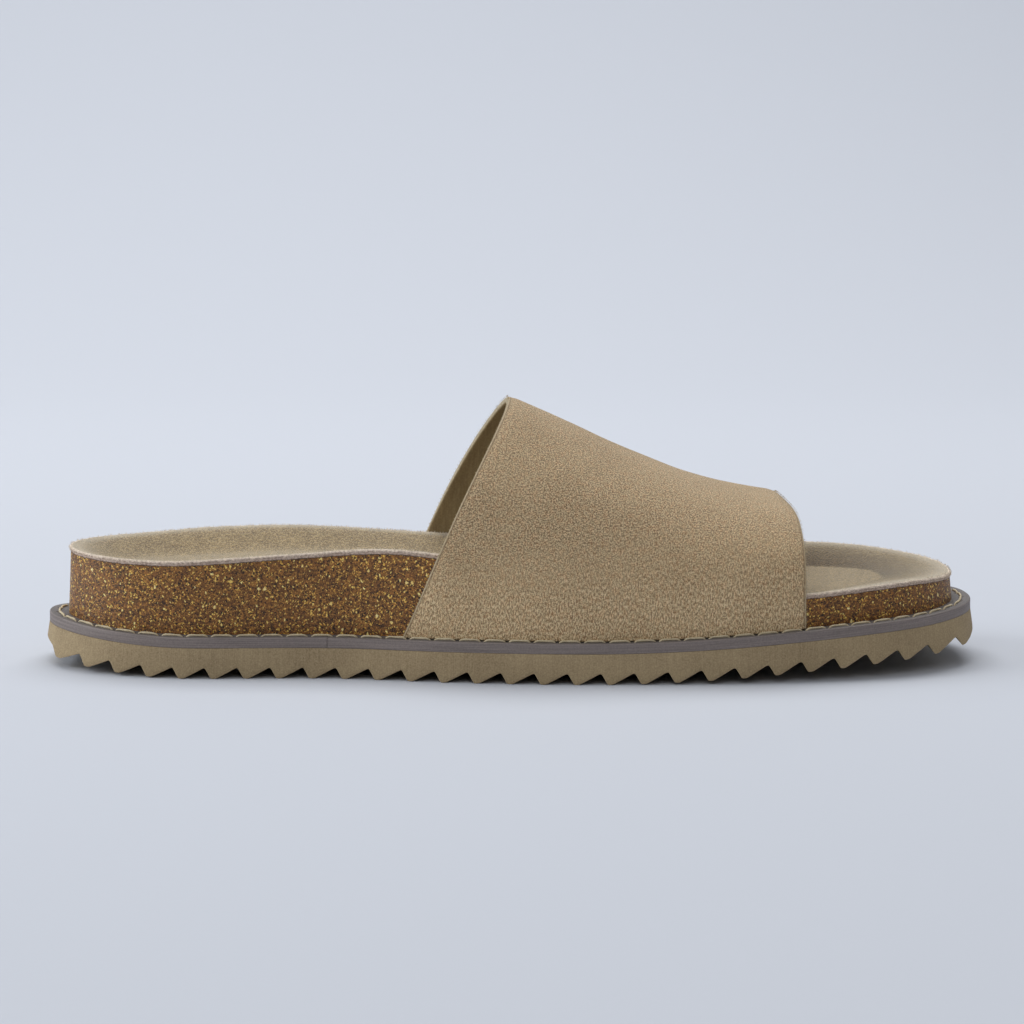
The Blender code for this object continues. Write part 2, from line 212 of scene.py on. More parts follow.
def closeBody(bm):  # joins seams, caps open ends and turns every face outwards
    bmesh.ops.remove_doubles(bm, verts=bm.verts, dist=2e-6)
    bmesh.ops.dissolve_degenerate(bm, edges=bm.edges, dist=1e-6)
    bmesh.ops.holes_fill(bm, edges=[edge for edge in bm.edges if edge.is_boundary], sides=0)
    bmesh.ops.recalc_face_normals(bm, faces=bm.faces)


def finishPiece(bm, name, finishes, node=None, sharp=40.0):
    mesh = bpy.data.meshes.new(name)
    bm.to_mesh(mesh)
    bm.free()
    for finish in finishes:
        mesh.materials.append(finish)
    mesh.shade_smooth()
    mesh.set_sharp_from_angle(angle=math.radians(sharp))
    piece = bpy.data.objects.new(name, mesh)
    bpy.context.scene.collection.objects.link(piece)
    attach(piece, "root")
    if node:
        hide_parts(node)
    print(name, "has", len(mesh.polygons), "faces")
    return piece


def gridLengths(points):  # millimetres run along each row and up each column
    along = np.linalg.norm(np.diff(points, axis=1), axis=2) / mm
    up = np.linalg.norm(np.diff(points, axis=0), axis=2) / mm
    along = np.pad(np.cumsum(along, axis=1), ((0, 0), (1, 0)))
    up = np.pad(np.cumsum(up, axis=0), ((1, 0), (0, 0)))
    return along, up


def gridNormals(points):
    normal = np.cross(np.gradient(points, axis=1), np.gradient(points, axis=0))
    return normal / np.maximum(np.linalg.norm(normal, axis=2), 1e-12)[..., None]


def ripple(points, size, seed):  # soft noise, about -1 to 1, over a grid of points
    flat = points.reshape(-1, 3) / (size * mm) + seed
    return np.array([noise.noise(Vector(spot)) for spot in flat]).reshape(points.shape[:2])


# shader helpers
def tone(red, green, blue):  # display colour to the linear one the shader takes
    parts = [value / 255 for value in (red, green, blue)]
    return tuple(c / 12.92 if c <= 0.04045 else ((c + 0.055) / 1.055) ** 2.4 for c in parts) + (1.0,)


def addNode(tree, kind, sockets=None, **settings):
    node = tree.nodes.new(kind)
    for key, value in settings.items():
        setattr(node, key, value)
    for key, value in (sockets or {}).items():
        if isinstance(value, bpy.types.NodeSocket):
            tree.links.new(value, node.inputs[key])
        else:
            node.inputs[key].default_value = value
    return node


def blankFinish(name, roughness, steady=None):  # a material with its Principled shader
    material = bpy.data.materials.new(name)
    material.use_nodes = True
    tree = material.node_tree
    shader = tree.nodes["Principled BSDF"]
    shader.inputs["Roughness"].default_value = roughness
    for key, value in (steady or {}).items():
        shader.inputs[key].default_value = value
    return material, tree, shader


# pattern coordinates, as a rule in millimetres
def spotsOf(tree, scale=(1000.0, 1000.0, 1000.0), source="Object"):
    if source == "UV":
        coords = addNode(tree, "ShaderNodeUVMap", uv_map="UVMap").outputs["UV"]
    else:
        coords = addNode(tree, "ShaderNodeTexCoord").outputs["Object"]
    return addNode(tree, "ShaderNodeMapping", {"Vector": coords, "Scale": scale}).outputs["Vector"]


def noiseOf(tree, spots, scale, detail=2.0, roughness=0.5, distortion=0.0):
    sockets = {"Vector": spots, "Scale": scale, "Detail": detail, "Roughness": roughness}
    return addNode(tree, "ShaderNodeTexNoise", sockets | {"Distortion": distortion}).outputs[0]


def rampOf(tree, value, stops):
    ramp = addNode(tree, "ShaderNodeValToRGB", {"Fac": value})
    while len(ramp.color_ramp.elements) < len(stops):
        ramp.color_ramp.elements.new(0.5)
    for element, (place, colour) in zip(ramp.color_ramp.elements, stops):
        element.position = place
        element.color = colour
    return ramp.outputs["Color"]


def mixOf(tree, factor, first, second, blend="MIX"):
    mix = addNode(tree, "ShaderNodeMix", data_type="RGBA", blend_type=blend)
    for socket, value in ((mix.inputs[0], factor), (mix.inputs[6], first), (mix.inputs[7], second)):
        if isinstance(value, bpy.types.NodeSocket):
            tree.links.new(value, socket)
        else:
            socket.default_value = value
    return mix.outputs[2]


def mathOf(tree, operation, first, second):
    return addNode(tree, "ShaderNodeMath", {0: first, 1: second}, operation=operation).outputs[0]


def sumOf(tree, first, firstShare, second, secondShare):
    first = mathOf(tree, "MULTIPLY", first, firstShare)
    return mathOf(tree, "ADD", first, mathOf(tree, "MULTIPLY", second, secondShare))


def bumpOf(tree, height, distance, strength=1.0):
    sockets = {"Height": height, "Distance": distance, "Strength": strength}
    return addNode(tree, "ShaderNodeBump", sockets).outputs["Normal"]


def traitOf(tree, name):
    return addNode(tree, "ShaderNodeAttribute", attribute_name=name).outputs["Fac"]


black, white = (0.0, 0.0, 0.0, 1.0), (1.0, 1.0, 1.0, 1.0)

# outsole: foam slab with saw teeth across it
outsoleForm = {
    "teeth": 29,
    "pitch": 9.95,
    "firstTip": 5.0,
    "drift": 2.0,  # the middle teeth lie this far behind an even row
    "slant": -3.0,
    "heelEnd": 4.4,
    "toeEnd": 4.2,
    "toeRound": 2.6,
    "toeKnee": (1.0, 2.5),
    "endFace": 0.2,
    "endRows": 26,
    "endReach": 40.0,
    "patternShift": (700.0, 100.0),  # keeps the patterns of the two sides apart
    # one tooth: distance from its tip, height over it
    "tooth": (
        (-2.3, 3.14), (-2.0, 3.0), (-1.75, 2.72), (-0.5, 0.5), (-0.28, 0.2), (0.0, 0.03), (0.25, 0.0),
        (0.85, 0.0), (1.2, 0.05), (1.7, 0.22), (3.4, 1.08), (5.1, 1.96), (6.6, 2.76), (7.15, 3.02), (7.5, 3.13),
    ),
    # round the slab: side, distance in from its edge, share of the way up the wall, lift
    "section": (
        (0, 0.0, 1.0, 0.0), (0, 0.0, 0.85, 0.0), (0, 0.0, 0.68, 0.0), (0, 0.0, 0.5, 0.0), (0, 0.0, 0.32, 0.0),
        (0, 0.0, 0.15, 0.0), (0, 0.0, 0.0, 0.3), (0, 0.09, 0.0, 0.09), (0, 0.3, 0.0, 0.0), (0, 4.0, 0.0, 0.0),
        (0, 12.0, 0.0, 0.0), (0, 24.0, 0.0, 0.0), (1, 24.0, 0.0, 0.0), (1, 12.0, 0.0, 0.0), (1, 4.0, 0.0, 0.0),
        (1, 0.3, 0.0, 0.0), (1, 0.09, 0.0, 0.09), (1, 0.0, 0.0, 0.3), (1, 0.0, 0.15, 0.0), (1, 0.0, 0.32, 0.0),
        (1, 0.0, 0.5, 0.0), (1, 0.0, 0.68, 0.0), (1, 0.0, 0.85, 0.0), (1, 0.0, 1.0, 0.0), (0, 0.0, 1.0, 0.0),
    ),
}


def foamFinish():
    material, tree, shader = blankFinish("outsoleFoam", 0.8)
    solid = spotsOf(tree)
    lines = noiseOf(tree, spotsOf(tree, (3.4, 0.05, 1.0), "UV"), 1.0, 2.0, 0.6)
    crumb = noiseOf(tree, solid, 2.1, 3.0, 0.65)
    cloud = noiseOf(tree, solid, 0.05, 3.0, 0.55)
    grain = sumOf(tree, lines, 0.28, crumb, 0.72)
    colour = rampOf(tree, grain, (
        (0.36, tone(126, 108, 79)), (0.5, tone(158, 137, 104)), (0.64, tone(182, 162, 127))))
    wornTone = rampOf(tree, cloud, ((0.38, tone(144, 125, 94)), (0.62, tone(170, 150, 115))))
    colour = mixOf(tree, 0.4, colour, wornTone)
    tree.links.new(colour, shader.inputs["Base Color"])
    tree.links.new(bumpOf(tree, grain, 0.00014, 0.6), shader.inputs["Normal"])
    return material


def addOutsole():
    form = outsoleForm
    slope = math.tan(math.radians(form["slant"]))
    position = footLoop[:, 0] + footLoop[:, 1] * slope  # counted square to the teeth
    start = int(np.argmin(position))
    foot, top = (np.roll(loop, -start, axis=0) for loop in (footLoop, pushOut(footLoop, weltOut)))
    position = np.roll(position, -start)
    far = int(np.argmax(position))
    low, high = position.min(), position.max()

    tooth = np.array(form["tooth"])
    number = np.arange(form["teeth"])
    tips = low + form["firstTip"] + form["pitch"] * number
    tips = tips - form["drift"] * np.sin(np.pi * number / (form["teeth"] - 1))
    stations = (tips[:, None] + tooth[:, 0]).ravel()
    heights = np.tile(tooth[:, 1], form["teeth"])
    inside = (stations > low + 0.5) & (stations < high - form["toeRound"])
    kneeDepth, kneeHeight = form["toeKnee"]
    toeStations = [high - kneeDepth, high - form["endFace"]]
    stations = np.concatenate([[low + form["endFace"]], stations[inside], toeStations])
    heights = np.concatenate([[form["heelEnd"]], heights[inside], [kneeHeight, form["toeEnd"]]])
    extra = np.geomspace(2 * form["endFace"], form["endReach"], form["endRows"])
    rows = np.union1d(stations, np.concatenate([low + extra, high - extra]))
    rows = rows[np.concatenate([[True], np.diff(rows) > 0.06])]
    heights = np.interp(rows, stations, heights)

    sides = []
    for run in (slice(0, far + 1), slice(None, far - 1, -1)):
        feet = np.stack([np.interp(rows, position[run], foot[run][:, axis]) for axis in (0, 1)], axis=1)
        tops = np.stack([np.interp(rows, position[run], top[run][:, axis]) for axis in (0, 1)], axis=1)
        sides.append((feet, tops))
    inward = sides[1][0] - sides[0][0]
    width = np.linalg.norm(inward, axis=1)
    inward = inward / width[:, None]

    runs = [runAlong(feet) for feet, _ in sides]
    shiftAlong, shiftUp = form["patternShift"]
    points, uvs = [], []
    for side, inset, share, lift in form["section"]:
        feet, tops = sides[side]
        ground = heights + lift
        rise = ground + (soleForm["outsoleTop"] - ground) * share
        reach = np.minimum(inset, width / 2) * (1 if side == 0 else -1)
        spot = feet + (tops - feet) * (rise / soleForm["outsoleTop"])[:, None] + inward * reach[:, None]
        points.append(toFrame(spot[:, 0], spot[:, 1], springLift(spot[:, 0]) + rise))
        uvs.append(np.stack([runs[side] + shiftAlong * side, rise + inset + shiftUp * side], axis=1))
    bm = rollSheet(np.array(points), np.array(uvs))
    closeBody(bm)
    finishPiece(bm, "outsole_foam", [foamFinish()], "outsole", 32.0)


addOutsole()

# welt: strip round the edge with a butt joint and a row of stitch holes
weltForm = {
    "columns": 1500,
    "jointStation": 86.0,
    "jointGap": 0.12,
    "stitchIn": 2.95,  # stitch line, in from the outer edge
    "stitchPitch": 7.5,
    "holeRadius": 0.62,
    "holeDepth": 1.5,
    "holeBand": (1.0, 5.0),  # holes dent only this much of the top
    "wave": 0.05,
    "waveSize": 9.0,
    "waveBand": 0.3,
    "sideRow": 4,
    # round the strip: distance in from the outer edge, height, zone
    "section": (
        (12.0, 9.02, 0), (0.2, 9.02, 0), (0.04, 9.08, 0), (0.0, 9.25, 0), (0.0, 9.9, 0), (0.0, 10.6, 0),
        (0.0, 11.3, 0), (0.02, 11.75, 0), (0.1, 12.0, 0), (0.26, 12.15, 1), (0.5, 12.2, 1), (0.9, 12.2, 1),
        (1.4, 12.2, 1), (1.85, 12.2, 1), (2.15, 12.2, 1), (2.4, 12.2, 1), (2.6, 12.2, 1), (2.78, 12.2, 1),
        (2.95, 12.2, 1), (3.12, 12.2, 1), (3.3, 12.2, 1), (3.5, 12.2, 1), (3.75, 12.2, 1), (4.2, 12.2, 1),
        (5.0, 12.2, 1), (6.2, 12.2, 1), (12.0, 12.2, 1), (12.0, 9.02, 1),
    ),
}


def stitchShares():  # shares of the way round at which the thread goes down
    shares = np.linspace(0.0, 1.0, 4001)
    run = runAlong(np.stack(ringAt(weltOut - weltForm["stitchIn"], shares), axis=1))
    count = round(run[-1] / weltForm["stitchPitch"])
    return np.interp((np.arange(count) + 0.5) / count * run[-1], run, shares)


def weltFinish(name, dark, light, roughness):
    material, tree, shader = blankFinish(name, roughness)
    streaks = noiseOf(tree, spotsOf(tree, (0.035, 3.4, 1.0), "UV"), 1.0, 4.0, 0.62)
    spots = spotsOf(tree)
    speck = noiseOf(tree, spots, 2.2)
    cloud = noiseOf(tree, spots, 0.06)
    grain = sumOf(tree, streaks, 0.7, speck, 0.3)
    colour = rampOf(tree, grain, ((0.36, dark), (0.64, light)))
    colour = mixOf(tree, mathOf(tree, "MULTIPLY", cloud, 0.35), colour, tone(126, 116, 110))
    # painted shade in the stitch holes
    colour = mixOf(tree, traitOf(tree, "hole"), colour, tone(36, 29, 23))
    tree.links.new(colour, shader.inputs["Base Color"])
    tree.links.new(bumpOf(tree, grain, 0.00012, 0.6), shader.inputs["Normal"])
    return material


def addWelt():
    form = weltForm
    section = np.array(form["section"])
    joint = np.interp(form["jointStation"], lateralHalf[:, 0], loopShare[:halfSteps])
    half = form["jointGap"] / 2 / loopLength
    share = np.linspace(joint + half, joint + 1 - half, form["columns"])
    holes = stitchShares()
    points, uvs, holeShades = [], [], []
    travelled = (share - share[0]) * loopLength
    around = runAlong(section[:, :2])
    nearest = holes[np.abs((share[:, None] - holes + 0.5) % 1.0 - 0.5).argmin(axis=1)]
    nearX, nearY = ringAt(weltOut - form["stitchIn"], nearest)
    for (inset, height, _), run in zip(section, around):
        x, y = ringAt(weltOut - inset, share)
        lift = springLift(x) + height
        pit = np.exp(-((x - nearX) ** 2 + (y - nearY) ** 2) / form["holeRadius"] ** 2)
        pit = pit * (form["holeBand"][0] < inset < form["holeBand"][1])
        points.append(toFrame(x, y, lift - pit * form["holeDepth"]))
        uvs.append(np.stack([travelled, np.full(len(share), run)], axis=1))
        holeShades.append(np.clip(pit * 1.8 - 0.2, 0.0, 1.0))  # painted shade, dark a little way up the wall of the hole
    points = np.array(points)
    outside = section[:, :1] < form["waveBand"]
    wave = ripple(points, form["waveSize"], 3.0) * outside * form["wave"] * mm
    points = points + gridNormals(points)[form["sideRow"]] * wave[..., None]
    zones = [int(zone) for zone in section[:-1, 2]]
    bm = rollSheet(points, np.array(uvs), {"hole": np.array(holeShades)}, zones)
    closeBody(bm)
    side = weltFinish("weltSide", tone(102, 92, 88), tone(143, 131, 126), 0.55)
    ledge = weltFinish("weltLedge", tone(84, 79, 77), tone(108, 103, 100), 0.6)
    finishPiece(bm, "welt_strip", [side, ledge], "welt")


addWelt()

# thread: one bowed, twisted length between each pair of holes
threadForm = {
    "radius": 0.35,
    "rise": 0.3,
    "dive": 1.2,
    "divePower": 7.0,
    "endGap": 0.28,  # from the middle of a hole to the end that goes down it
    "twist": 9.0,
    "ply": 0.13,
    "sway": 0.12,
    "endShare": 0.7,  # thinner where it goes down
    "along": 22,
    "round": 10,
}


def threadFinish():
    material, tree, shader = blankFinish("waxedThread", 0.6)
    spots = spotsOf(tree)
    fibre = noiseOf(tree, spots, 3.5, 3.0, 0.6)
    cloud = noiseOf(tree, spots, 0.12, 1.0)
    colour = rampOf(tree, fibre, (
        (0.3, tone(176, 158, 124)), (0.55, tone(214, 199, 166)), (0.75, tone(232, 221, 195))))
    colour = mixOf(tree, mathOf(tree, "MULTIPLY", cloud, 0.4), colour, tone(196, 178, 142))
    tree.links.new(colour, shader.inputs["Base Color"])
    tree.links.new(bumpOf(tree, fibre, 0.0001, 0.5), shader.inputs["Normal"])
    return material


def addThread():
    form = threadForm
    holes = stitchShares()
    t = (1 - np.cos(np.linspace(0.0, np.pi, form["along"]))) / 2
    turn = np.linspace(0.0, 2 * np.pi, form["round"] + 1)
    swell = np.sin(np.pi * t)
    height = form["rise"] - (form["rise"] + form["dive"]) * np.abs(2 * t - 1) ** form["divePower"]
    spare = form["endGap"] / weltForm["stitchPitch"]
    whole = bmesh.new()
    holder = bpy.data.meshes.new("stitch")
    for number, first in enumerate(holes):
        last = holes[(number + 1) % len(holes)] + (1.0 if number + 1 == len(holes) else 0.0)
        share = first + (last - first) * (spare + (1 - 2 * spare) * t)
        sway = form["sway"] * math.sin(number * 2.4)
        x, y = ringAt(weltOut - weltForm["stitchIn"] + sway, share)
        centre = toFrame(x, y, springLift(x) + soleForm["weltTop"] + height)
        forward = unit(np.gradient(centre, axis=0))
        across = unit(np.cross(forward, [0.0, 0.0, 1.0]))
        above = np.cross(across, forward)
        ply = 1 + form["ply"] * np.cos(2 * turn[:, None] + form["twist"] * t + number)
        radius = form["radius"] * mm * (form["endShare"] + (1 - form["endShare"]) * swell ** 0.5) * ply
        points = centre + (np.cos(turn)[:, None] * radius)[..., None] * across
        points = points + (np.sin(turn)[:, None] * radius)[..., None] * above
        stitch = rollSheet(points, np.zeros(points.shape[:2] + (2,)))
        closeBody(stitch)
        stitch.to_mesh(holder)
        stitch.free()
        whole.from_mesh(holder)
    bpy.data.meshes.remove(holder)
    finishPiece(whole, "welt_thread", [threadFinish()], sharp=60.0)


addThread()

# footbed: heights over the welt, station by station
bedForm = {
    "columns": 300,  # along one side
    "spineStart": 44.0,
    "spineEnd": 236.0,
    "cover": 1.6,
    "endBlend": 44.0,  # width over which the two rims run into each other at heel and toe
    "innerRings": (0.03, 0.06, 0.09, 0.12, 0.15, 0.18, 0.21, 0.24, 0.28, 0.33, 0.4, 0.5, 0.7, 1.0),
    "creaseFrom": 150.0,
    "creaseOver": 50.0,
    "creasePower": 1.45,
    # sets how far to the lateral side the painted shade on the toe slope reaches
    "toeWallShadeStart": 0.8,
    # station, floor, lateral rim, medial rim, width of the slope from rim to floor
    "sections": (
        (0.0, 16.8, 20.1, 20.4, 16.0),
        (22.0, 17.2, 21.2, 22.4, 16.0),
        (48.0, 18.0, 22.5, 24.8, 15.0),
        (76.0, 19.6, 24.3, 26.0, 15.0),
        (108.0, 19.8, 26.2, 24.8, 15.0),
        (140.0, 16.4, 22.3, 22.6, 14.0),
        (175.0, 11.2, 15.2, 18.2, 12.0),
        (205.0, 8.6, 11.4, 15.6, 11.0),
        (235.0, 8.2, 10.2, 14.8, 12.0),
        (250.0, 8.0, 10.4, 13.8, 17.0),
        (265.0, 7.8, 10.3, 12.2, 23.0),
        (290.0, 6.0, 7.4, 7.8, 25.0),
    ),
}


def bedShares(count):  # shares round the rim, so that column i faces column -i across the foot
    stations = soleForm["length"] * (1 - np.cos(np.linspace(0.0, np.pi, count + 1))) / 2
    lateral = np.interp(stations, halfStations, loopShare[:halfSteps])
    medial = np.interp(stations, halfStations, loopShare[halfSteps - 1:][::-1])
    return np.concatenate([lateral, medial[::-1][1:-1], [1.0]])


# one ring of the footbed, from the rim (0) to the spine (1), with its share of the painted shade on the toe
# slope and how far it is medial
def bedRing(shares, inward, outset=0.0):
    x, y = ringAt(rimOut, shares)
    facing = np.arange(len(shares) - 1, -1, -1)
    midX, midY = (x + x[facing]) / 2, (y + y[facing]) / 2
    half = len(shares) // 2 + 1
    spineX = np.clip(midX, bedForm["spineStart"], bedForm["spineEnd"])
    spineY = np.interp(spineX, midX[:half], midY[:half])
    side = (y - curveAt(soleForm["sections"], 1, x)) / bedForm["endBlend"]
    medial = easeStep(0.5 + side)
    rim = curveAt(bedForm["sections"], 2, x) * (1 - medial) + curveAt(bedForm["sections"], 3, x) * medial
    reach = np.hypot(x - spineX, y - spineY)
    ringX, ringY = x + (spineX - x) * inward, y + (spineY - y) * inward
    floor = curveAt(bedForm["sections"], 1, ringX)
    slope = curveAt(bedForm["sections"], 4, ringX)
    part = np.clip(inward * reach / slope, 0.0, 1.0)
    crisp = easeStep((ringX - bedForm["creaseFrom"]) / bedForm["creaseOver"])  # the toe end has a sharp crease
    drop = easeStep(part) * (1 - crisp) + part ** bedForm["creasePower"] * crisp
    height = soleForm["weltTop"] + rim + (floor - rim) * drop + springLift(ringX)
    if outset:
        outX, outY = ringAt(rimOut + outset, shares)
        ringX, ringY = ringX + outX - x, ringY + outY - y
    # painted shade: at the toe the slope from rim down to floor is marked, more towards the crease, for a
    # darker colour
    toeWallShade = crisp * easeStep(bedForm["toeWallShadeStart"] + side) * np.where(part < 1, part, 0.0)
    return ringX, ringY, height, toeWallShade, medial


# cork: pressed granules, shaped under the insole
corkForm = {
    "columns": 480,
    "wallRows": 34,
    "relief": 0.09,
    "reliefSizes": (1.5, 0.8),
    "clear": 0.05,  # gap to the welt and to the insole
    "turnedIn": 6.0,
}


def corkFinish():
    material, tree, shader = blankFinish("pressedCork", 0.5)
    spots = spotsOf(tree)
    bend = addNode(tree, "ShaderNodeTexNoise", {"Vector": spots, "Scale": 1.7, "Detail": 3.0}).outputs["Color"]
    bent = addNode(tree, "ShaderNodeVectorMath", {0: bend, 1: (0.8,) * 3}, operation="MULTIPLY").outputs[0]
    bent = addNode(tree, "ShaderNodeVectorMath", {0: spots, 1: bent}, operation="ADD").outputs[0]

    def grains(scale, metric="EUCLIDEAN", source=None):
        sockets = {"Vector": source or bent, "Scale": scale, "Randomness": 1.0}
        cell = addNode(tree, "ShaderNodeTexVoronoi", sockets, distance=metric)
        split = addNode(tree, "ShaderNodeSeparateColor", {0: cell.outputs["Color"]})
        return cell.outputs["Distance"], split.outputs[0], split.outputs[1]

    def flakes(scale, share, size, turn, stretch):  # a few cells, cut down to slivers
        turned = addNode(tree, "ShaderNodeMapping", {"Vector": bent, "Rotation": (0.4, turn, turn)}).outputs[0]
        thin = addNode(tree, "ShaderNodeMapping", {"Vector": turned, "Scale": (1.0, 1.0, stretch)}).outputs[0]
        gap, pick, chance = grains(scale, "MANHATTAN", thin)
        chosen = mathOf(tree, "GREATER_THAN", chance, 1.0 - share)
        return mathOf(tree, "MULTIPLY", chosen, mathOf(tree, "LESS_THAN", gap, size)), pick

    gap, pick, _ = grains(1.15)
    fineGap, finePick, _ = grains(2.7)
    colour = rampOf(tree, pick, (
        (0.0, tone(62, 37, 15)), (0.3, tone(92, 58, 24)), (0.6, tone(119, 74, 30)), (0.85, tone(151, 95, 37)),
        (1.0, tone(172, 112, 46)),
    ))
    fineTone = rampOf(tree, finePick, (
        (0.0, tone(34, 20, 8)), (0.4, tone(98, 62, 25)), (0.75, tone(148, 97, 41)), (1.0, tone(204, 146, 66))))
    colour = mixOf(tree, 0.6, colour, fineTone)
    for scale, share, size, turn, stretch, dull, bright in (
        (2.3, 0.12, 0.62, 0.5, 1.3, tone(172, 118, 48), tone(226, 178, 86)),
        (1.7, 0.2, 0.68, 1.0, 1.0, tone(20, 10, 4), tone(48, 26, 10)),
        (1.45, 0.11, 0.64, -0.7, 1.7, tone(206, 150, 56), tone(252, 212, 104)),
        (1.2, 0.11, 0.62, 0.9, 2.0, tone(222, 168, 62), tone(255, 226, 124)),
        (0.85, 0.08, 0.52, 2.0, 1.6, tone(232, 186, 78), tone(255, 238, 152)),
        (0.55, 0.04, 0.42, -1.6, 1.3, tone(232, 196, 96), tone(255, 242, 176)),
    ):
        mask, flakePick = flakes(scale, share, size, turn, stretch)
        colour = mixOf(tree, mask, colour, rampOf(tree, flakePick, ((0.0, dull), (1.0, bright))))
    tree.links.new(colour, shader.inputs["Base Color"])
    height = sumOf(tree, gap, -0.6, fineGap, -0.4)
    tree.links.new(bumpOf(tree, height, 0.0003, 0.55), shader.inputs["Normal"])
    return material


def addCork():
    form = corkForm
    shares = bedShares(form["columns"])
    cover = bedForm["cover"] + form["clear"]
    inner, base = (
        toFrame(x, y, springLift(x) + soleForm["weltTop"] - form["clear"])
        for x, y in (ringAt(corkOut - inset, shares) for inset in (form["turnedIn"], 0.0)))
    x, y, z, *_ = bedRing(shares, 0.0)
    top = toFrame(x, y, z - cover)
    climb = np.linspace(0.0, 1.0, form["wallRows"])[:, None, None]
    points = np.concatenate([[inner], base + (top - base) * climb])
    coarse, fine = form["reliefSizes"]
    bite = ripple(points, coarse, 11.0) + 0.6 * ripple(points, fine, 29.0)
    bite[0] = 0.0
    points = points + gridNormals(points) * (bite * form["relief"] * mm)[..., None]
    points[:, -1] = points[:, 0]
    under = []
    for inward in bedForm["innerRings"]:
        x, y, z, *_ = bedRing(shares, inward)
        under.append(toFrame(x, y, z - cover))
    points = np.concatenate([points, np.array(under)])
    along, up = gridLengths(points)
    bm = rollSheet(points, np.stack([along, up], axis=2))
    closeBody(bm)
    finishPiece(bm, "cork_footbed", [corkFinish()], "cork_midsole", 60.0)


addCork()

# insole: suede cover with a raw, fuzzy edge
insoleForm = {
    "columns": 540,
    # edge: outset from the rim, height over its underside
    "edge": ((-0.25, 0.0), (0.05, 0.06), (0.22, 0.3), (0.3, 0.7), (0.28, 1.1), (0.14, 1.45), (-0.12, 1.62)),
    "topRings": (
        0.012, 0.025, 0.04, 0.055, 0.07, 0.085, 0.1, 0.115, 0.13, 0.145, 0.16, 0.175, 0.19, 0.205, 0.22,
        0.235, 0.25, 0.265, 0.28, 0.295, 0.31, 0.33, 0.35, 0.37, 0.39, 0.41, 0.43, 0.45, 0.48, 0.52, 0.58,
        0.66, 0.76, 0.88, 1.0,
    ),
    "fray": 0.16,
    "fraySize": 1.6,
    "rimSheenReach": {"lateral": 0.32, "medial": 0.14},  # share of the way in that the painted sheen along the rim reaches
    "fuzz": {"count": 7000, "length": (0.3, 0.9), "thick": 0.05, "spread": 0.6, "seed": 5},
}


def fuzzFinish(name, dull, bright):
    material, tree, shader = blankFinish(name, 0.9)
    strand = noiseOf(tree, spotsOf(tree), 1.1, 2.0, 0.6)
    tree.links.new(rampOf(tree, strand, ((0.38, dull), (0.62, bright))), shader.inputs["Base Color"])
    return material


# short loose fibres rooted in a cut edge
def addFuzz(name, points, rows, columns, chance, lean, form, finish):
    perTuft = 50  # a small bmesh takes new fibres faster than a big one
    thick = form["thick"] * mm
    dice = np.random.default_rng(form["seed"])
    normals = gridNormals(points)
    middle = points.reshape(-1, 3).mean(axis=0)
    normals = normals * np.sign(((points - middle) * normals).sum(axis=2))[..., None]
    picks = dice.choice(rows.size, form["count"], p=chance.ravel() / chance.sum())
    whole = bmesh.new()
    holder = bpy.data.meshes.new("tuft")
    for some in np.array_split(picks, form["count"] // perTuft):
        tuft = bmesh.new()
        for row, column in zip(rows.ravel()[some], columns.ravel()[some]):
            aim = Vector(normals[row, column] + lean + dice.normal(0.0, form["spread"], 3)).normalized()
            length = dice.uniform(*form["length"]) * mm
            place = Matrix.Translation(Vector(points[row, column]) + aim * length * 0.3)
            bmesh.ops.create_cone(
                tuft, cap_ends=True, segments=3, radius1=thick, radius2=thick * 0.4, depth=length,
                matrix=place @ aim.to_track_quat("Z", "Y").to_matrix().to_4x4())
        tuft.to_mesh(holder)
        tuft.free()
        whole.from_mesh(holder)
    bpy.data.meshes.remove(holder)
    finishPiece(whole, name, [finish])


def insoleFinish():
    sheen = {"Sheen Weight": 0.6, "Sheen Roughness": 0.5, "Sheen Tint": tone(255, 249, 234)}
    material, tree, shader = blankFinish("insoleSuede", 0.95, sheen)
    nap = noiseOf(tree, spotsOf(tree, (1000.0, 600.0, 1000.0)), 2.2, 4.0, 0.65, 0.5)
    blotch = noiseOf(tree, spotsOf(tree, (1000.0, 420.0, 1000.0)), 0.32, 3.0, 0.6)
    cloud = noiseOf(tree, spotsOf(tree), 0.09, 3.0, 0.55)
    colour = rampOf(tree, nap, (
        (0.42, tone(84, 66, 42)), (0.5, tone(150, 124, 82)), (0.58, tone(215, 190, 141))))
    worn = rampOf(tree, blotch, ((0.38, tone(120, 97, 63)), (0.62, tone(183, 158, 114))))
    colour = mixOf(tree, 0.28, colour, worn)
    patch = rampOf(tree, cloud, ((0.35, tone(133, 110, 74)), (0.65, tone(162, 137, 95))))
    colour = mixOf(tree, 0.2, colour, patch)
    # painted highlight: paler towards the rim, more on the lateral side, for sheen seen at a grazing angle
    colour = mixOf(tree, mathOf(tree, "MULTIPLY", traitOf(tree, "rim"), 0.48), colour, tone(240, 230, 212))
    toeWallShade = traitOf(tree, "toeWallShade")  # painted shade on the toe's slope, darkest next to the crease
    crease = rampOf(tree, toeWallShade, ((0.0, white), (0.5, (0.55, 0.52, 0.48, 1.0)), (0.9, (0.36, 0.31, 0.26, 1.0))))
    colour = mixOf(tree, 1.0, colour, crease, "MULTIPLY")
    tree.links.new(colour, shader.inputs["Base Color"])
    tree.links.new(bumpOf(tree, nap, 0.0007, 1.0), shader.inputs["Normal"])
    return material


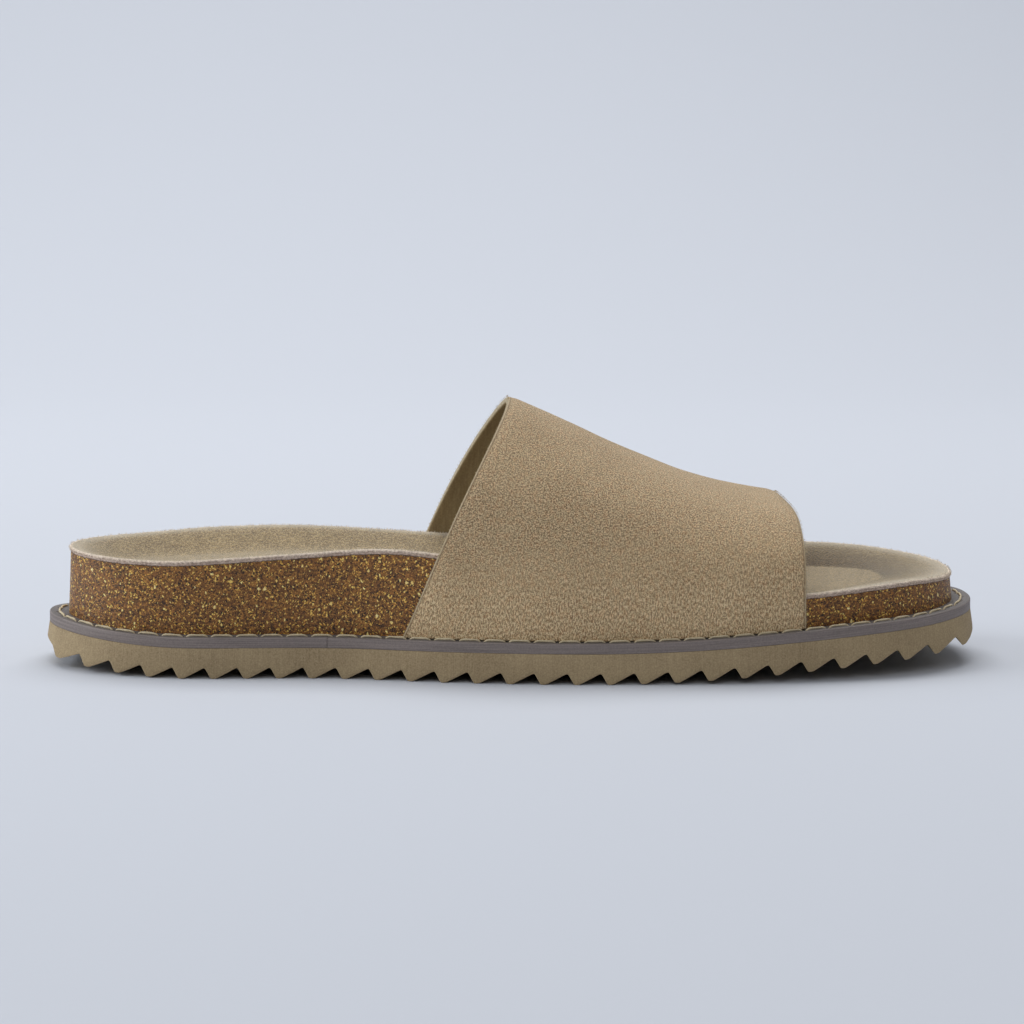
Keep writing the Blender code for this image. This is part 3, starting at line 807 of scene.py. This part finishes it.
def rawEdgeFinish():
    material, tree, shader = blankFinish("insoleRawEdge", 0.95)
    fuzz = noiseOf(tree, spotsOf(tree, (1000.0, 1000.0, 1600.0)), 1.3, 4.0, 0.7)
    loose = mathOf(tree, "MULTIPLY", mathOf(tree, "SUBTRACT", fuzz, 0.5), 0.5)
    level = mathOf(tree, "ADD", traitOf(tree, "layer"), loose)
    # pale at the top of the edge is a painted highlight, dark at its foot is painted shade under the bulge
    colour = rampOf(tree, level, (
        (0.0, tone(88, 69, 56)), (0.14, tone(176, 150, 134)), (0.4, tone(202, 176, 159)),
        (0.52, tone(138, 115, 101)), (0.62, tone(212, 190, 171)), (0.85, tone(242, 226, 206)),
        (1.0, tone(240, 226, 204)),
    ))
    speck = rampOf(tree, fuzz, (
        (0.4, tone(130, 110, 97)), (0.5, tone(202, 181, 164)), (0.6, tone(252, 236, 218))))
    colour = mixOf(tree, 0.4, colour, speck)
    tree.links.new(colour, shader.inputs["Base Color"])
    tree.links.new(bumpOf(tree, fuzz, 0.0005, 0.9), shader.inputs["Normal"])
    return material


def addInsole():
    form = insoleForm
    shares = bedShares(form["columns"])
    rings, zones, toeWallShades, rimSheens = [], [], [], []
    for inward in bedForm["innerRings"][::-1]:
        x, y, z, toeWallShade, _ = bedRing(shares, inward)
        rings.append(toFrame(x, y, z - bedForm["cover"]))
        toeWallShades.append(toeWallShade)
        zones.append(0)
    for outset, height in form["edge"]:
        x, y, z, toeWallShade, _ = bedRing(shares, 0.0, outset)
        rings.append(toFrame(x, y, z - bedForm["cover"] + height))
        toeWallShades.append(toeWallShade)
        zones.append(1)
    firstEdge, lastEdge = len(bedForm["innerRings"]), len(rings)
    for inward in form["topRings"]:
        x, y, z, toeWallShade, medial = bedRing(shares, inward)
        rings.append(toFrame(x, y, z))
        toeWallShades.append(toeWallShade)
        # how much of the painted rim highlight each ring takes
        outer, inner = (easeStep(1 - inward / form["rimSheenReach"][side]) for side in ("lateral", "medial"))
        rimSheens.append(outer + (inner - outer) * medial)
        zones.append(0)
    points = np.array(rings)
    fray = ripple(points, form["fraySize"], 5.0) * form["fray"]
    fray[:firstEdge] = 0.0
    fray[lastEdge + 2:] = 0.0
    points = points + gridNormals(points) * (fray * mm)[..., None]
    points[:, -1] = points[:, 0]
    along, up = gridLengths(points)
    layer = np.zeros(points.shape[:2])
    layer[firstEdge:lastEdge] = np.array(form["edge"])[:, 1:] / bedForm["cover"]
    layer[lastEdge:] = 1.0
    rim = np.ones(points.shape[:2])
    rim[lastEdge:] = np.array(rimSheens)
    traits = {"layer": layer, "toeWallShade": np.array(toeWallShades), "rim": rim}
    bm = rollSheet(points, np.stack([along, up], axis=2), traits, zones[:-1])
    closeBody(bm)
    finishPiece(bm, "insole_suede", [insoleFinish(), rawEdgeFinish()], "insole", 70.0)
    edgeRows, edgeColumns = np.arange(lastEdge - 4, lastEdge + 3), np.arange(points.shape[1] - 1)
    rows, columns = np.meshgrid(edgeRows, edgeColumns, indexing="ij")
    chance = np.diff(along, axis=1)[rows, columns]
    fuzzTone = fuzzFinish("insoleFuzz", tone(176, 156, 132), tone(240, 228, 206))
    lean = (0.0, 0.0, 0.4)
    addFuzz("insole_fuzz", points, rows, columns, chance, lean, form["fuzz"], fuzzTone)


addInsole()

# strap: one wide piece of suede over the forefoot
strapForm = {
    "thickness": 2.2,
    "clearOfCork": 0.3,
    "backFoot": 108.5,
    "backLean": 26.15,
    "backHeight": 69.0,
    "backBulge": 2.5,
    "bulgePower": 1.26,
    "frontFoot": 230.0,
    "frontUpright": 29.6,
    "frontScoop": 11.4,
    "frontPower": 3.0,
    "rimClearance": 1.0,
    "wallShare": 0.3,
    "columns": 150,
    "wallRows": 26,
    "archRows": 60,
    "solveSteps": 40,
    "ridgeSmooth": 4,
    "ridgeBand": 0.05,
    "rollWidth": 3.5,
    "rollDrop": 0.4,
    "ripple": 0.22,
    "rippleSizes": (24.0, 11.0),
    "sewnHeight": 12.0,
    # low on the strap the nap lies in streaks and the colour is lighter as painted light
    "lowStreakFrom": 8.0,
    "lowStreakOver": 26.0,
    "soften": 0.5,
    "fuzz": {"count": 900, "length": (0.25, 0.6), "thick": 0.04, "spread": 0.6, "seed": 3},
    # station, ridge height over the welt, ridge offset, roundness of the lateral and the medial shoulder
    "sections": (
        (100.0, 80.7, 1.0, 1.6, 2.0),
        (130.0, 74.3, 1.5, 1.6, 2.0),
        (155.0, 64.3, 2.5, 1.7, 2.1),
        (180.0, 52.5, 4.0, 1.9, 2.2),
        (205.0, 42.1, 5.0, 2.2, 2.3),
        (235.0, 34.2, 6.0, 2.45, 2.3),
    ),
}
strapLoop = pushOut(footLoop, corkOut + strapForm["clearOfCork"] + strapForm["thickness"])
strapFoot = {
    "lateral": strapLoop[:halfSteps],
    "medial": np.vstack([strapLoop[halfSteps - 1:], strapLoop[:1]])[::-1],
}


# y and height of the strap's outside, from the lateral foot (-1) over the ridge to the medial one (1)
def strapSection(station, share):
    form = strapForm
    lateral = share < 0
    foot = np.where(lateral, *(np.interp(station, *strapFoot[side].T) for side in sideColumn))
    rim = np.where(lateral, *(curveAt(bedForm["sections"], column, station) for column in sideColumn.values()))
    rim = rim + form["rimClearance"]
    ridge, crown, *powers = (curveAt(form["sections"], column, station) for column in range(1, 5))
    power = np.where(lateral, *powers)
    climb = 1 - np.abs(share)
    angle = np.clip((climb - form["wallShare"]) / (1 - form["wallShare"]), 0.0, 1.0) * np.pi / 2
    over = climb > form["wallShare"]
    y = np.where(over, crown + (foot - crown) * np.clip(np.cos(angle), 0.0, 1.0) ** (2 / power), foot)
    height = np.where(over, rim + (ridge - rim) * np.sin(angle) ** (2 / power), rim * climb / form["wallShare"])
    return y, height


def strapStation(height, along):  # from the back edge (0) to the front edge (1)
    form = strapForm
    climb = np.clip(height / form["backHeight"], 0.0, 1.0)
    bulge = form["backBulge"] * np.sin(np.pi * climb ** form["bulgePower"])
    back = form["backFoot"] + height * math.tan(math.radians(form["backLean"])) - bulge
    ridge = curveAt(form["sections"], 1, form["frontFoot"] - form["frontScoop"])
    rise = np.clip((height - form["frontUpright"]) / (ridge - form["frontUpright"]), 0.0, 1.0)
    cutBack = 1 - (1 - rise ** form["frontPower"]) ** (1 / form["frontPower"])
    return back + (form["frontFoot"] - form["frontScoop"] * cutBack - back) * along


def suedeFinish():
    sheen = {"Sheen Weight": 0.4, "Sheen Roughness": 0.4, "Sheen Tint": tone(236, 224, 204)}
    material, tree, shader = blankFinish("strapSuede", 0.95, sheen)
    lowStreakAndLight = traitOf(tree, "lowStreakAndLight")
    fine = noiseOf(tree, spotsOf(tree, (1.0, 0.8, 1.0), "UV"), 2.2, 3.0, 0.65, 0.3)
    streak = noiseOf(tree, spotsOf(tree, (1.0, 0.38, 1.0), "UV"), 2.5, 3.0, 0.65, 0.2)
    dust = noiseOf(tree, spotsOf(tree, (1.0, 0.8, 1.0), "UV"), 4.0, 2.0, 0.6)
    blush = noiseOf(tree, spotsOf(tree, (1.0, 0.5, 1.0), "UV"), 0.8, 3.0, 0.6)
    cloud = noiseOf(tree, spotsOf(tree, (1.0, 1.0, 1.0), "UV"), 0.06, 5.0, 0.65)
    nap = addNode(tree, "ShaderNodeMix", {0: lowStreakAndLight, 2: fine, 3: streak}).outputs[0]
    grain = sumOf(tree, nap, 0.62, dust, 0.38)
    colour = rampOf(tree, grain, (
        (0.458, tone(92, 70, 46)), (0.5, tone(169, 142, 104)), (0.542, tone(241, 216, 173))))
    warm = rampOf(tree, blush, ((0.46, tone(168, 148, 117)), (0.6, tone(203, 142, 95))))
    # painted light: low on the strap a lighter ramp takes over, for light it would not get
    low = rampOf(tree, grain, (
        (0.448, tone(128, 100, 69)), (0.5, tone(202, 170, 126)), (0.552, tone(255, 233, 188))))
    colour = mixOf(tree, lowStreakAndLight, colour, low)
    colour = mixOf(tree, 0.2, colour, warm)
    patch = rampOf(tree, cloud, ((0.36, tone(152, 128, 95)), (0.64, tone(194, 170, 133))))
    colour = mixOf(tree, 0.2, colour, patch)
    edge = mathOf(tree, "DIVIDE", traitOf(tree, "edgeGap"), 3.0)  # a pressed line runs along each cut edge
    seam = rampOf(tree, edge, (
        (0.0, tone(200, 182, 150)), (0.13, tone(190, 170, 137)), (0.24, tone(102, 82, 56)),
        (0.4, tone(166, 141, 105)),
    ))
    hold = rampOf(tree, edge, ((0.0, (0.8, 0.8, 0.8, 1.0)), (0.24, (0.6, 0.6, 0.6, 1.0)), (0.4, black)))
    colour = mixOf(tree, hold, colour, seam)
    tree.links.new(colour, shader.inputs["Base Color"])
    tree.links.new(bumpOf(tree, grain, 0.0006, 0.9), shader.inputs["Normal"])
    return material


def liningFinish():
    material, tree, shader = blankFinish("strapLining", 0.7)
    streak = noiseOf(tree, spotsOf(tree, (1.2, 0.08, 1.0), "UV"), 1.0, 3.0, 0.6)
    speck = noiseOf(tree, spotsOf(tree), 1.6, 3.0, 0.6)
    grain = sumOf(tree, streak, 0.5, speck, 0.5)
    colour = rampOf(tree, grain, ((0.35, tone(132, 112, 77)), (0.65, tone(164, 143, 103))))
    tree.links.new(colour, shader.inputs["Base Color"])
    tree.links.new(bumpOf(tree, grain, 0.00015, 0.5), shader.inputs["Normal"])
    return material


def cutEdgeFinish():
    material, tree, shader = blankFinish("strapCutEdge", 0.9)
    fuzz = noiseOf(tree, spotsOf(tree), 1.8, 3.0, 0.65)
    colour = rampOf(tree, fuzz, (
        (0.35, tone(134, 120, 94)), (0.5, tone(164, 150, 122)), (0.65, tone(186, 173, 146))))
    tree.links.new(colour, shader.inputs["Base Color"])
    tree.links.new(bumpOf(tree, fuzz, 0.0002, 0.6), shader.inputs["Normal"])
    return material


def addStrap():
    form = strapForm
    wall = form["wallShare"]
    wallClimbs = np.linspace(0.0, wall, form["wallRows"])[:-1]
    climbs = np.concatenate([wallClimbs, np.linspace(wall, 1.0, form["archRows"])])
    shares = np.concatenate([climbs - 1, (1 - climbs)[::-1][1:]])
    along, share = np.meshgrid(np.linspace(0.0, 1.0, form["columns"]), shares)
    station = form["backFoot"] + (form["frontFoot"] - form["backFoot"]) * along
    for _ in range(form["solveSteps"]):
        y, height = strapSection(station, share)
        station = station + (strapStation(height, along) - station) / 2
    station = station[:, :1] + (station[:, -1:] - station[:, :1]) * along  # even steps from edge to edge
    nearRidge = 1 - easeStep(np.abs(share[1:-1]) / form["ridgeBand"])
    for _ in range(form["ridgeSmooth"]):  # rounds the front edge off where it passes the ridge
        level = (station[:-2] + station[2:]) / 2
        station[1:-1] = station[1:-1] + (level - station[1:-1]) * nearRidge / 2
    y, height = strapSection(station, share)
    points = toFrame(station, y, springLift(station) + soleForm["weltTop"] + height)
    wide, narrow = form["rippleSizes"]
    sag = ripple(points, wide, 7.0) + 0.5 * ripple(points, narrow, 17.0)
    hold = easeStep(height / form["sewnHeight"])  # still where the foot is sewn down
    points = points + gridNormals(points) * (sag * hold * form["ripple"] * mm)[..., None]
    run, up = gridLengths(points)
    edgeGap = np.minimum(run, run[:, -1:] - run)
    outward = gridNormals(points)
    outward = outward * np.sign(outward[..., 2].mean())
    roll = easeStep(1 - edgeGap / form["rollWidth"]) * form["rollDrop"] * hold  # cut edges curl in a little
    points = points - outward * (roll * mm)[..., None]
    lowStreakAndLight = 1 - easeStep((height - form["lowStreakFrom"]) / form["lowStreakOver"])  # nap lies in streaks low down, and there the colour is lighter as painted light
    bm = rollSheet(points, np.stack([station, up], axis=2), {"edgeGap": edgeGap, "lowStreakAndLight": lowStreakAndLight})
    bmesh.ops.recalc_face_normals(bm, faces=bm.faces)
    top = max(bm.faces, key=lambda face: face.calc_center_median().z)
    if top.normal.z < 0:
        bmesh.ops.reverse_faces(bm, faces=bm.faces)
    finishes = [suedeFinish(), liningFinish(), cutEdgeFinish()]
    piece = finishPiece(bm, "strap_suede", finishes, "upper", 60.0)
    thick = piece.modifiers.new("thickness", "SOLIDIFY")
    thick.thickness = form["thickness"] * mm
    thick.offset = -1.0
    thick.use_even_offset = True
    thick.material_offset = 1
    thick.material_offset_rim = 2
    soften = piece.modifiers.new("soften", "BEVEL")
    soften.width = form["soften"] * mm
    soften.segments = 3
    soften.limit_method = "ANGLE"
    soften.angle_limit = math.radians(60.0)
    fuzzTone = fuzzFinish("strapFuzz", tone(150, 128, 96), tone(214, 194, 158))
    rows = np.arange(len(shares))[:, None]
    for edge, column, lean in (("back", 0, (-0.9, 0.0, 0.3)), ("front", form["columns"] - 1, (0.9, 0.0, 0.3))):
        columns = np.full_like(rows, column)
        chance = np.abs(np.gradient(up, axis=0))[:, column:column + 1]
        fuzz = form["fuzz"] | {"seed": form["fuzz"]["seed"] + column}
        addFuzz("strap_fuzz_" + edge, points, rows, columns, chance, lean, fuzz, fuzzTone)


addStrap()

# stage: pale floor that curves up behind, soft light from above and from both sides
stageForm = {
    "tone": (193, 197, 205),
    "halfWidth": 4.0,
    "front": -3.0,
    "bend": 0.9,
    "radius": 1.4,
    "height": 2.2,
    "worldTone": (208, 212, 220),
    "worldStrength": 0.3,
    # name: place, aim, size, watts, colour
    "lights": {
        "top": ((0.0, 0.85, 1.85), (0.0, 0.0, 0.0), (1.9, 1.4), 34.0, (1.0, 1.0, 1.0)),
        "front": ((-0.3, -1.5, 1.3), (0.0, 0.0, 0.03), (1.6, 1.2), 8.0, (1.0, 1.0, 1.0)),
        "left": ((-1.9, 0.0, 0.85), (0.0, 0.0, 0.03), (1.3, 1.3), 24.0, (0.94, 0.97, 1.0)),
        "right": ((1.3, 0.3, 0.6), (0.0, 0.0, 0.03), (0.9, 0.9), 1.5, (1.0, 0.98, 0.95)),
        "back": ((0.0, 0.9, 1.6), (0.0, 2.3, 0.5), (3.0, 0.6), 4.0, (1.0, 1.0, 1.0)),
    },
}


def addStage():
    form = stageForm
    bm = bmesh.new()
    bmesh.ops.create_grid(bm, x_segments=24, y_segments=80, size=1.0)
    flat = form["bend"] - form["front"]
    arc = form["radius"] * math.pi / 2
    for vert in bm.verts:
        run = (vert.co.y + 1) / 2 * (flat + arc + form["height"])
        x = vert.co.x * form["halfWidth"]
        if run <= flat:
            vert.co = (x, form["front"] + run, 0.0)
        elif run <= flat + arc:
            turn = (run - flat) / form["radius"]
            vert.co = (x, form["bend"] + form["radius"] * math.sin(turn), form["radius"] * (1 - math.cos(turn)))
        else:
            vert.co = (x, form["bend"] + form["radius"], form["radius"] + run - flat - arc)
    material = blankFinish("paleFloor", 0.9, {"Base Color": tone(*form["tone"])})[0]
    mesh = bpy.data.meshes.new("floor")
    bm.to_mesh(mesh)
    bm.free()
    mesh.materials.append(material)
    mesh.shade_smooth()
    floor = bpy.data.objects.new("floor", mesh)
    bpy.context.scene.collection.objects.link(floor)

    world = bpy.data.worlds.new("studio")
    world.use_nodes = True
    sky = world.node_tree.nodes["Background"]
    sky.inputs["Color"].default_value = tone(*form["worldTone"])
    sky.inputs["Strength"].default_value = form["worldStrength"]
    bpy.context.scene.world = world
    for name, (place, target, size, watts, colour) in form["lights"].items():
        data = bpy.data.lights.new(name, "AREA")
        data.shape = "RECTANGLE"
        data.size, data.size_y = size
        data.energy = watts
        data.color = colour
        lamp = bpy.data.objects.new(name, data)
        aim = Vector(target) - Vector(place)
        lamp.rotation_euler = aim.to_track_quat("-Z", "Y").to_euler()
        lamp.location = place
        lamp.visible_camera = False
        bpy.context.scene.collection.objects.link(lamp)


addStage()
bpy.context.scene.view_settings.view_transform = "Standard"
print("stage lit")
